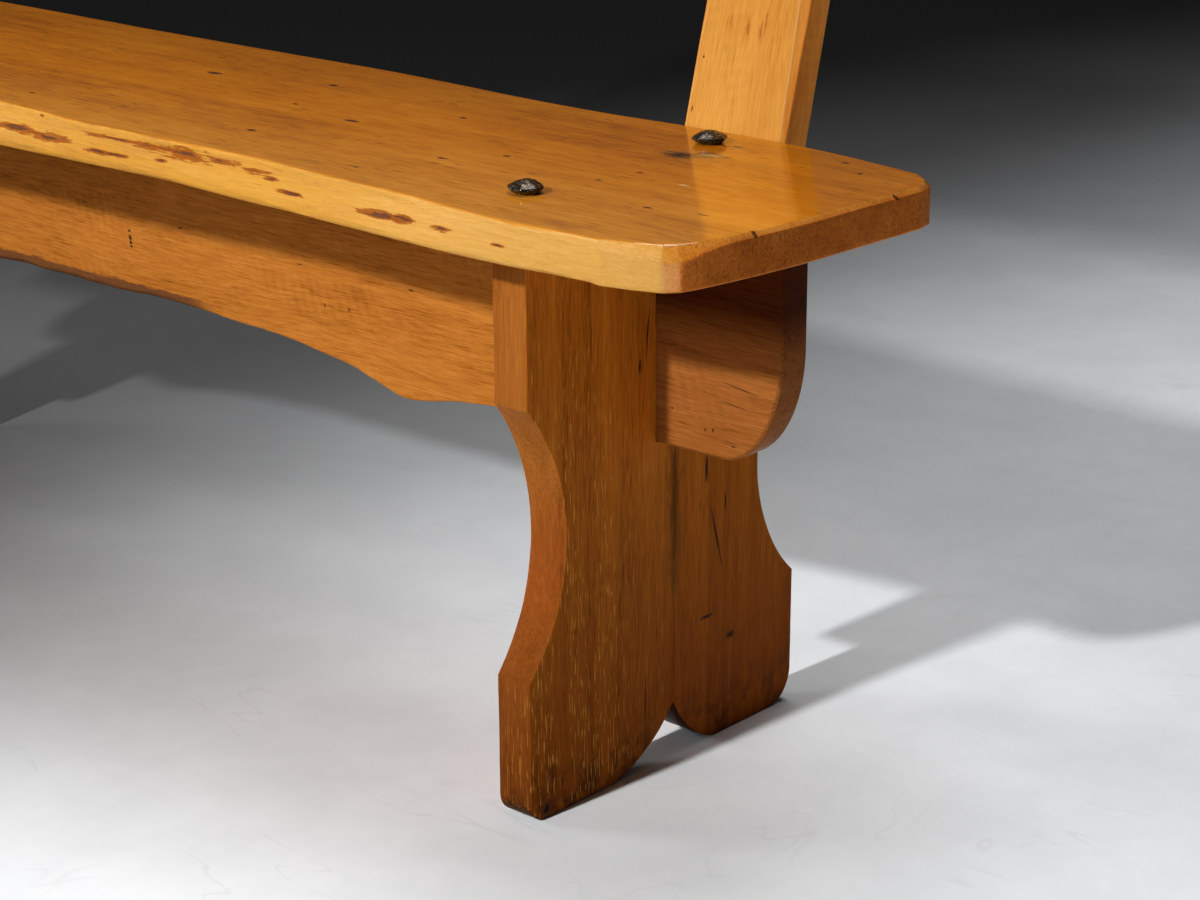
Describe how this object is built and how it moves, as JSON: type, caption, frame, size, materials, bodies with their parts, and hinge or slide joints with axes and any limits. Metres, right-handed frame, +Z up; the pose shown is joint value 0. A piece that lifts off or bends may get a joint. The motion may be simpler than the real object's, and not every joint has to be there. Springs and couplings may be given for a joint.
{
  "type": "bench",
  "caption": "Rustic plank bench: a live-edge seat on cut-out trestle legs tied by a deep through stretcher, with raked posts, a broad back board and hammered nail heads.",
  "frame": {"origin": "middle of the bench's overall box, on the floor", "axes": "+X along the bench, to the right as seen from the front; the back is towards +Y; +Z up"},
  "size_m": [1.39, 0.424, 0.8463],
  "materials": {
    "seat_wood": "satin varnished honey pine",
    "leg_wood": "satin varnished brown pine, upright grain",
    "stretcher_wood": "satin varnished brown pine, lengthwise grain",
    "post_wood": "satin varnished honey pine",
    "dowel_wood": "bare hardwood",
    "iron": "hammered, waxed black"
  },
  "bodies": {
    "root": {"seat_plank": "seat_wood", "stretcher": "stretcher_wood", "back_board": "seat_wood", "right_leg_front_board": "leg_wood", "right_leg_rear_board": "leg_wood", "right_post": "post_wood", "left_leg_front_board": "leg_wood", "left_leg_rear_board": "leg_wood", "left_post": "post_wood", "right_seat_nail_front": "iron", "right_seat_nail_rear": "iron", "right_back_nail_lower": "iron", "right_back_nail_upper": "iron", "right_post_nail": "iron", "right_leg_dowel_lower": "dowel_wood", "right_leg_dowel_upper": "dowel_wood", "left_seat_nail_front": "iron", "left_seat_nail_rear": "iron", "left_back_nail_lower": "iron", "left_back_nail_upper": "iron", "left_post_nail": "iron", "left_leg_dowel_lower": "dowel_wood", "left_leg_dowel_upper": "dowel_wood"}
  },
  "joints": []
}
